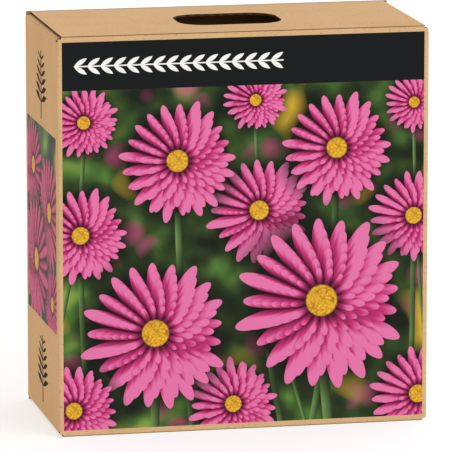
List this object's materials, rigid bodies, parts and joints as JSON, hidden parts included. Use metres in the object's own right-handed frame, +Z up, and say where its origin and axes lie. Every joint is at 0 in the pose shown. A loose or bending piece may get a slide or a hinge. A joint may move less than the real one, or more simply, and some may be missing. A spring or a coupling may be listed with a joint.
{
  "type": "cardboard carrier carton",
  "caption": "Upright kraft cardboard carton with a printed front, a tuck lid with a finger hole to carry it by, and side flaps under the lid.",
  "frame": {"origin": "middle of the carton's base, on the surface that it stands on", "axes": "+X across the width, the printed front faces -Y, +Z up"},
  "size_m": [0.2, 0.096, 0.214],
  "materials": {
    "kraft_board": "uncoated, matt",
    "printed_board": "kraft board with a satin colour print",
    "kraft_inside": "uncoated, matt"
  },
  "bodies": {
    "carton": {"front_wall": "printed_board", "back_wall": "kraft_board", "left_wall": "printed_board", "right_wall": "printed_board", "glue_flap": "kraft_inside", "bottom_panel": "kraft_board", "bottom_tuck_flap": "kraft_inside", "bottom_left_flap": "kraft_inside", "bottom_right_flap": "kraft_inside"},
    "lid": {"lid_panel": "kraft_board", "lid_tuck_flap": "kraft_inside"},
    "left_flap": {"top_left_flap": "kraft_inside"},
    "right_flap": {"top_right_flap": "kraft_inside"}
  },
  "joints": [
    {"name": "lid_fold", "type": "hinge", "parent": "carton", "child": "lid", "pos_m": [0, -0.048, 0.214], "axis": [1, 0, 0], "range_deg": [0, 180]},
    {"name": "left_flap_fold", "type": "hinge", "parent": "carton", "child": "left_flap", "pos_m": [-0.1, 0, 0.2125], "axis": [0, -1, 0], "range_deg": [0, 45]},
    {"name": "right_flap_fold", "type": "hinge", "parent": "carton", "child": "right_flap", "pos_m": [0.1, 0, 0.2125], "axis": [0, 1, 0], "range_deg": [0, 45]}
  ],
  "couplings": [
    {"joint": "left_flap_fold", "follows": "lid_fold", "ratio": 0.25},
    {"joint": "right_flap_fold", "follows": "lid_fold", "ratio": 0.25}
  ]
}
